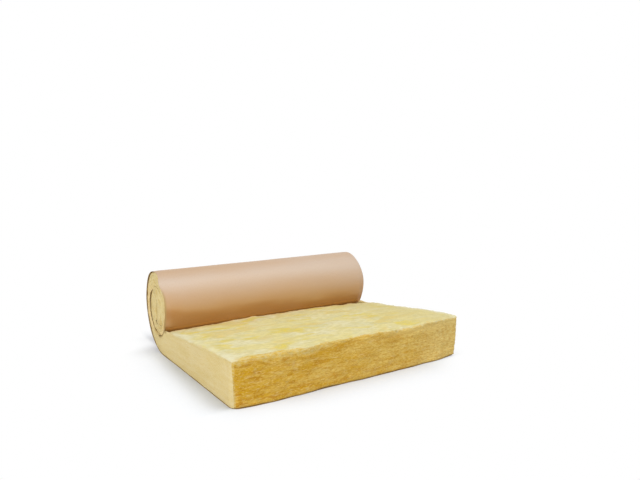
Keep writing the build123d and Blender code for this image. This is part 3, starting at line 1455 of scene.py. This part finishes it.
@dataclass(frozen=True)
class LooseFibres:
    """Stray fibres that stand off the open blanket, most of them along its handled edges."""

    blanket: WoolBlanket
    count: int = 4400
    end_share: float = 0.40  # of them on the cut end
    side_share: float = 0.30  # and on the two sides; the rest lie on the open face
    shortest: float = 0.010
    longest: float = 0.036
    radius: float = 0.00030
    lift: float = 0.0026  # how far a fibre's free end usually stands off the wool
    along_wool: float = 0.28  # spread of their slant on the cut end and sides, in radians
    any_way: float = 1.2  # and on the open face
    bend: float = 0.30
    rooted: float = 0.0003  # how deep a fibre starts in the wool
    off_roll: float = 0.06  # how far those on the open face start from the roll
    off_floor: float = 0.002
    joints: int = 5
    seed: int = 11

    def roots(self, pick: np.random.RandomState) -> tuple[Array, ...]:
        """Draws where the fibres start.

        Args:
            pick: draws the random numbers.

        Returns:
            Across, along and level, which fibres are on the cut end, and which on the sides.
        """
        path = self.blanket.section.path
        kind = pick.rand(self.count)
        on_end = kind < self.end_share
        on_side = (kind > 1 - self.side_share) & ~on_end
        across = (2 * pick.rand(self.count) - 1) * HALF_WIDTH
        along = (path.flat_run - self.off_roll) * pick.rand(self.count) ** 1.6
        along = np.where(on_side, 0.97 * path.length * pick.rand(self.count), along)
        level = np.where(on_end | on_side, 1 - pick.rand(self.count) ** 1.5, 1.0)
        across = np.where(on_side, np.sign(across) * HALF_WIDTH, across)
        return across, np.where(on_end, 0.0, along), level, on_end, on_side

    def lines(self) -> tuple[Array, Array]:
        """Draws the fibres.

        Returns:
            Points, one row a fibre and one column a joint, and which fibres are on the cut end.
        """
        pick = np.random.RandomState(self.seed)
        section = self.blanket.section
        across, along, level, on_end, on_side = self.roots(pick)
        slant = pick.randn(self.count) * np.where(on_end | on_side, self.along_wool, self.any_way)
        slant = (slant + np.pi * (pick.rand(self.count) < 0.5))[:, None]
        reach = self.shortest + (self.longest - self.shortest) * pick.rand(self.count) ** 2
        share = np.linspace(0, 1, self.joints)
        bend = pick.randn(self.count)[:, None] * self.bend * share**2
        main = reach[:, None] * (np.cos(slant) * share - np.sin(slant) * bend)
        cross = reach[:, None] * (np.sin(slant) * share + np.cos(slant) * bend)
        on_end_too, on_side = on_end[:, None], on_side[:, None]
        across = (across[:, None] + np.where(on_side, 0.0, main)).ravel()
        along = along[:, None] + np.where(on_side, main, np.where(on_end_too, 0.0, cross))
        rise = np.where(on_end_too | on_side, cross, 0.0) / section.wool_thickness
        along, level = along.ravel(), np.clip(level[:, None] + rise, 0.03, 1.0).ravel()
        plain = np.stack((across, along, level * section.thickness(along)), axis=1)
        spots, way = self.blanket.shape(plain, level)
        off = self.lift * pick.exponential(1.0, self.count)[:, None] * share**1.5 - self.rooted
        spots = spots + way * np.minimum(off, 4 * self.lift).ravel()[:, None]
        points = section.place(spots)
        points[:, 2] = np.maximum(points[:, 2], self.off_floor)
        return points.reshape(self.count, self.joints, 3), on_end

    def build(self, finish: Material) -> bpy.types.Object:
        """Makes the fibres as one piece of thin three-sided strands.

        Args:
            finish: their material.

        Returns:
            The piece.
        """
        points, on_end = self.lines()
        way = np.gradient(points, axis=1)
        way /= np.linalg.norm(way, axis=2)[:, :, None]
        side = np.cross(way, np.array((0.31, 0.24, 0.92)))
        side /= np.linalg.norm(side, axis=2)[:, :, None]
        up = np.cross(side, way)
        thick = self.radius * (1 - 0.6 * np.linspace(0, 1, self.joints))[None, :, None, None]
        turn = np.arange(3) * 2 * np.pi / 3
        ring = np.cos(turn)[:, None] * side[:, :, None, :] + np.sin(turn)[:, None] * up[:, :, None, :]
        skin = (points[:, :, None, :] + thick * ring).reshape(-1, 3)
        faces, points_each = [], 3 * self.joints
        for first in range(0, len(skin), points_each):
            end = first + points_each
            for low in range(first, end - 3, 3):
                for k, after in ((0, 1), (1, 2), (2, 0)):
                    faces.append((low + k, low + 3 + k, low + 3 + after, low + after))
            faces += [(first, first + 1, first + 2), (end - 1, end - 2, end - 3)]
        layers = {
            FibreLayer.PLACE: skin,
            FibreLayer.CUT_END: np.repeat(on_end.astype(float), points_each),
        }
        piece = make_piece("loose_fibres", skin, faces, layers, finish)
        return piece


@dataclass(frozen=True)
class ShadePatch:
    """A patch of the facing with more or less painted shade than the rest of its turn."""

    amount: float
    headings: tuple[float, ...]  # start, full, fading and end, or the first two
    across: tuple[float, float]  # from none of it to all of it


@dataclass(frozen=True)
class KraftFacing:
    """The kraft paper under the blanket and round the roll, with its bonded inner side."""

    section: BlanketSection
    overhang: float = 0.001  # how far the paper runs past the wool at each side
    back_overhang: float = 0.0032  # and how much more at the back of each turn
    left_skew: float = 0.001  # and how much more on the roll's front, which is wound a little askew
    right_skew: float = 0.012
    top_skew: float = 0.013  # past the wool at the left, between the roll's top and its front
    inner_tuck: float = 0.010  # how far its inner turn lies back in the wool
    front_set_back: float = 0.0005  # behind the wool's cut end
    columns: int = 90
    flat_step: float = 0.014
    wound_step: float = 0.008
    # patches of painted light and shade on the roll's front
    patches: tuple[ShadePatch, ...] = (
        ShadePatch(-0.06, (200.0, 215.0, 235.0, 250.0), (-0.2, 0.1)),
        ShadePatch(-0.12, (235.0, 270.0, 285.0, 297.0), (-0.1, 0.3)),
        ShadePatch(-0.10, (200.0, 220.0, 250.0, 275.0), (0.3, 0.5)),
        ShadePatch(-0.19, (276.0, 298.0), (-0.5, -0.6)),
        ShadePatch(0.08, (228.0, 252.0, 268.0, 284.0), (-0.48, -0.58)),
    )

    def shell(self, last: int) -> LatticeShell:
        """Lays the sheet's two faces and its four edges.

        Args:
            last: the number of the last station along it.

        Returns:
            The skin.
        """
        skin, wide = LatticeShell(), self.columns
        skin.sheet(lambda i, j: (j, i, 0), last, wide)
        skin.sheet(lambda i, j: (i, j, 1), wide, last)
        skin.sheet(lambda i, j: (0, j, i), 1, last)
        skin.sheet(lambda i, j: (wide, i, j), last, 1)
        skin.sheet(lambda i, j: (i, 0, j), wide, 1)
        skin.sheet(lambda i, j: (j, last, i), 1, wide)
        return skin

    def shade_by_heading(self, across: Array, turned: Array) -> Array:
        """Works out the painted shade on the facing: its colour is set deeper where less light reaches it,
        down the roll's front and under it.

        Args:
            across: distance from the middle of the width.
            turned: the facing's heading in degrees.

        Returns:
            0 where fully lit to over 1 where it turns under.
        """
        painted_shade = 0.82 * ease(turned, 216.0, 284.0) + 0.18 * ease(turned, 258.0, 294.0)
        # painted shade over the roll's top, where the light grazes it, less towards +X
        painted_shade += 0.46 * ease(turned, 230.0, 190.0) * (1 - 0.5 * ease(across, -0.2, 0.3))
        for patch in self.patches:
            window = between if len(patch.headings) == 4 else ease
            painted_shade += patch.amount * window(turned, *patch.headings) * ease(across, *patch.across)
        # at the nip, up to the painted reflected light of the nook
        painted_shade += 0.45 * ease(turned, 300.5, 306.0)
        return np.maximum(painted_shade, ease(turned, 120.0, 20.0))

    def worn(self, across: Array, turned: Array) -> Array:
        """Works out the colour of the sheet's cut edges: a painted shadow line along the left edge low on
        the roll's front, painted light round the nip, and a mid brown at the foot.

        Args:
            across: distance from the middle of the width.
            turned: the facing's heading in degrees.

        Returns:
            0 where clean to 1 where wool is caught on them.
        """
        from_side = from_sides(across)
        foot_edge = ease(from_side, 0.006, 0.003) * ease(turned, 40.0, 10.0)
        front_edge = ease(from_side, 0.012, 0.004) * (across < 0)
        front_edge *= between(turned, 225.0, 250.0, 372.0, 392.0)
        front_edge *= 0.7 + 0.3 * ease(turned, 296.0, 312.0)
        return np.maximum(0.55 * foot_edge, front_edge)

    def stand_proud(self, across: Array, turned: Array) -> Array:
        """Works out how far the facing stands past the blanket's width.

        Args:
            across: distance from the middle of the width.
            turned: the facing's heading in degrees.

        Returns:
            Distance past each side, below 0 where it lies back.
        """
        low_front = between(turned, 212.0, 265.0, 300.0, 350.0)
        skewed = np.where(across > 0, self.right_skew, self.left_skew) * low_front
        skewed += np.where(across < 0, self.top_skew, 0.0) * hump(turned, 226.0, 17.0)
        at_back = between(turned, 15.0, 70.0, 165.0, 195.0) + 0.7 * ease(turned, 400.0, 430.0)
        proud = (self.overhang + self.back_overhang * at_back) * ease(turned, 502.0, 478.0)
        return proud + skewed - self.inner_tuck * ease(turned, 482.0, 506.0)

    def build(self, finish: Material) -> bpy.types.Object:
        """Makes the facing piece.

        Args:
            finish: the facing's material.

        Returns:
            The piece, which stands for the CAD's facing.
        """
        path = self.section.path
        flat = np.arange(self.front_set_back, path.flat_run, self.flat_step)
        stations = np.concatenate((flat, path.wound_stations(self.wound_step)))
        skin = self.shell(len(stations) - 1)
        columns, steps, sides = skin.lattice.T
        across = plain = (2 * crowded(self.columns, 0.14)[columns] - 1) * HALF_WIDTH
        along, inner = stations[steps], sides.astype(float)
        inset = self.section.drift(across, along) + inner * self.section.facing_thickness
        flat_points = path.points(along, inset)
        turned = path.turned(along)
        proud = self.stand_proud(plain, turned)
        across = across * (1 + proud / HALF_WIDTH) + self.section.wider(across, along)
        trimmed = trim_corners(np.stack((across, along), axis=1))
        from_end = flat_points[:, 0] + trimmed[:, 1] - along - self.section.forward(across, along)
        across = trimmed[:, 0]
        points = np.stack((across, from_end - self.section.back_reach / 2, flat_points[:, 1]), axis=1)
        layers = {
            FacingLayer.EDGE_TONE: self.worn(plain, turned),
            FacingLayer.PLACE: np.stack((across, along, inner * 0.1), axis=1),
            FacingLayer.BONDED: inner,
            FacingLayer.PAINTED_SHADE: self.shade_by_heading(plain, turned),
        }
        piece = make_piece("kraft_paper", points, skin.faces, layers, finish)
        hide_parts("kraft_facing")
        return piece


# The studio


@dataclass(frozen=True)
class Lamp:
    """One soft square lamp, aimed at the part."""

    name: str
    place: tuple[float, float, float]
    size: float
    power: float
    target: tuple[float, float, float] = (0.0, 0.0, 0.12)

    def build(self) -> None:
        """Hangs the lamp."""
        data = bpy.data.lights.new(self.name, "AREA")
        data.shape, data.size, data.energy = "SQUARE", self.size, self.power
        lamp = stand(self.name, data)
        lamp.location = self.place
        aim = Vector(self.target) - Vector(self.place)
        lamp.rotation_euler = aim.to_track_quat("-Z", "Y").to_euler()


@dataclass(frozen=True)
class Studio:
    """Plain pale floor, soft lamps and the camera."""

    camera_place: tuple[float, float, float] = (-1.5503, -2.6063, 0.9672)
    camera_turn: float = 0.57737  # from +Y towards +X
    camera_dip: float = 0.1306
    lens: float = 34.19
    sensor: float = 36.0
    world_level: float = 0.40
    floor_half: float = 30.0
    clear_of_part: tuple[float, float] = (-0.05, 0.26)  # off its foot, where the floor fades to white
    back_clear: float = 0.07  # by how much it fades sooner beside the roll
    corner_clear: float = 0.08  # and before the two front corners
    side_clear: float = 0.12  # and beside the roll's left end and the open right side
    middle: tuple[float, float, float] = (0.0, 0.05, 0.0)
    foot: tuple[float, float, float] = (0.6, 0.58, 1.0)
    colour: Colour = rgb(0.80, 0.80, 0.80)  # of the floor
    tint: Colour = rgb(0.90, 0.94, 1.0)  # and near the part
    shade: float = 0.46
    shade_reach: float = 0.19  # how far the part's foot shades the floor
    lamps: tuple[Lamp, ...] = (
        Lamp("key", (1.1, -1.3, 4.2), 2.2, 104.0),
        Lamp("fill", (-3.0, -2.2, 1.6), 2.0, 56.0),
        Lamp("end", (-3.0, 0.9, 1.0), 1.6, 11.0),
    )

    def camera(self) -> None:
        """Stands the camera where the photograph was taken from."""
        data = bpy.data.cameras.new("camera")
        data.lens, data.sensor_width = self.lens, self.sensor
        camera = stand("camera", data)
        camera.location = self.camera_place
        camera.rotation_euler = (math.pi / 2 - self.camera_dip, 0.0, -self.camera_turn)
        bpy.context.scene.camera = camera

    def fade(self, bench: NodeBench) -> Socket:
        """Works out where the floor turns plain white: off a block round the part's foot.

        Args:
            bench: the floor's bench.

        Returns:
            0 near the part to 1 further off.
        """
        place = bench.add("ShaderNodeTexCoord").outputs["Object"]
        across, along, _ = bench.split(place)
        sooner = bench.times(bench.window(along, 0.0, 0.45), self.back_clear)
        in_front = bench.window(along, -0.50, -0.54)
        corners = bench.maths("ADD", bench.window(across, -0.25, -0.5), bench.window(across, 0.36, 0.50))
        corners = bench.times(in_front, corners)
        sooner = bench.maths("MULTIPLY_ADD", corners, self.corner_clear, sooner)
        beside_roll = bench.times(bench.window(across, -0.56, -0.60), bench.window(along, 0.38, 0.54))
        sides = bench.maths("ADD", beside_roll, bench.window(across, 0.44, 0.61))
        sooner = bench.maths("MULTIPLY_ADD", sides, self.side_clear, sooner)
        steps = (
            ("SUBTRACT", self.middle),
            ("ABSOLUTE", None),
            ("SUBTRACT", self.foot),
            ("MAXIMUM", (0, 0, 0)),
            ("LENGTH", None),
        )
        for operation, other in steps:
            off = bench.add("ShaderNodeVectorMath", operation=operation)
            bench.join(place, off.inputs[0])
            bench.join(other, off.inputs[1])
            place = off.outputs["Value" if operation == "LENGTH" else "Vector"]
        return bench.window(bench.maths("ADD", place, sooner), *self.clear_of_part)

    def floor_finish(self) -> Material:
        """Makes a white finish that keeps the part's shadow and is plain white further off.

        Returns:
            The material.
        """
        material, bench, shader = new_material("floor")
        seen = bench.add("ShaderNodeLightPath").outputs["Is Camera Ray"]
        corner = bench.add("ShaderNodeAmbientOcclusion", samples=8, only_local=False)
        bench.feed(corner, Distance=self.shade_reach, Color=self.tint)
        tint = bench.blend(self.shade, self.tint, corner.outputs["Color"])
        tint = bench.blend(seen, self.colour, tint)
        bench.feed(shader, Base_Color=tint, Roughness=0.9, Specular_IOR_Level=0.0)
        white = bench.times(self.fade(bench), seen)
        glow = bench.add("ShaderNodeEmission")
        bench.feed(glow, Color=rgb(1, 1, 1), Strength=1.0)
        mixed = bench.add("ShaderNodeMixShader")
        for source, target in zip((white, shader.outputs[0], glow.outputs[0]), mixed.inputs):
            bench.join(source, target)
        output = next(n for n in material.node_tree.nodes if n.type == "OUTPUT_MATERIAL")
        bench.join(mixed.outputs[0], output.inputs[0])
        return material

    def floor(self) -> None:
        """Lays a white floor."""
        mesh = bpy.data.meshes.new("floor")
        corners = ((-1, -1), (1, -1), (1, 1), (-1, 1))
        half = self.floor_half
        mesh.from_pydata([(x * half, y * half, 0) for x, y in corners], [], [(0, 1, 2, 3)])
        mesh.materials.append(self.floor_finish())
        stand("floor", mesh)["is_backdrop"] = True

    def world(self) -> None:
        """Makes an even white surround, plain white to the camera."""
        world = bpy.data.worlds.new("studio")
        world.use_nodes = True
        world.node_tree.nodes.clear()
        bench = NodeBench(world.node_tree)
        rays = bench.add("ShaderNodeLightPath").outputs
        seen = bench.maths("MAXIMUM", rays["Is Camera Ray"], rays["Is Glossy Ray"])
        level = bench.maths("MULTIPLY_ADD", seen, 1.0 - self.world_level, self.world_level)
        sky = bench.add("ShaderNodeBackground")
        bench.feed(sky, Color=rgb(1, 1, 1), Strength=level)
        output = bench.add("ShaderNodeOutputWorld")
        bench.join(sky.outputs[0], output.inputs[0])
        bpy.context.scene.world = world

    def build(self) -> None:
        """Sets up the whole studio."""
        self.world()
        self.floor()
        for lamp in self.lamps:
            lamp.build()
        self.camera()
        bpy.context.scene.view_settings.view_transform = "Standard"


def corners() -> list[list[float]]:
    """Gives the object's lowest and highest corner as plain lists."""
    return [[round(float(c), 6) for c in corner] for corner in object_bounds()]


def report(piece: bpy.types.Object) -> None:
    """Logs a piece's name and face count."""
    log.info("%s: %d faces", piece.name, len(piece.data.polygons))


def main() -> None:
    """Builds every piece and the studio, in order."""
    logging.basicConfig(level=logging.INFO, format="%(name)s: %(message)s")
    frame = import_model()
    log.info("frame holds %s", sorted(frame["nodes"]))
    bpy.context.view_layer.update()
    section = BlanketSection()
    groups = EffectGroups()
    blanket = WoolBlanket(section)
    report(blanket.build(WoolFinish().build(groups)))
    report(LooseFibres(blanket).build(FibreFinish().build(groups)))
    report(KraftFacing(section).build(KraftFinish().build(groups)))
    Studio().build()
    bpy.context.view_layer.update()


if __name__ == "__main__":
    main()
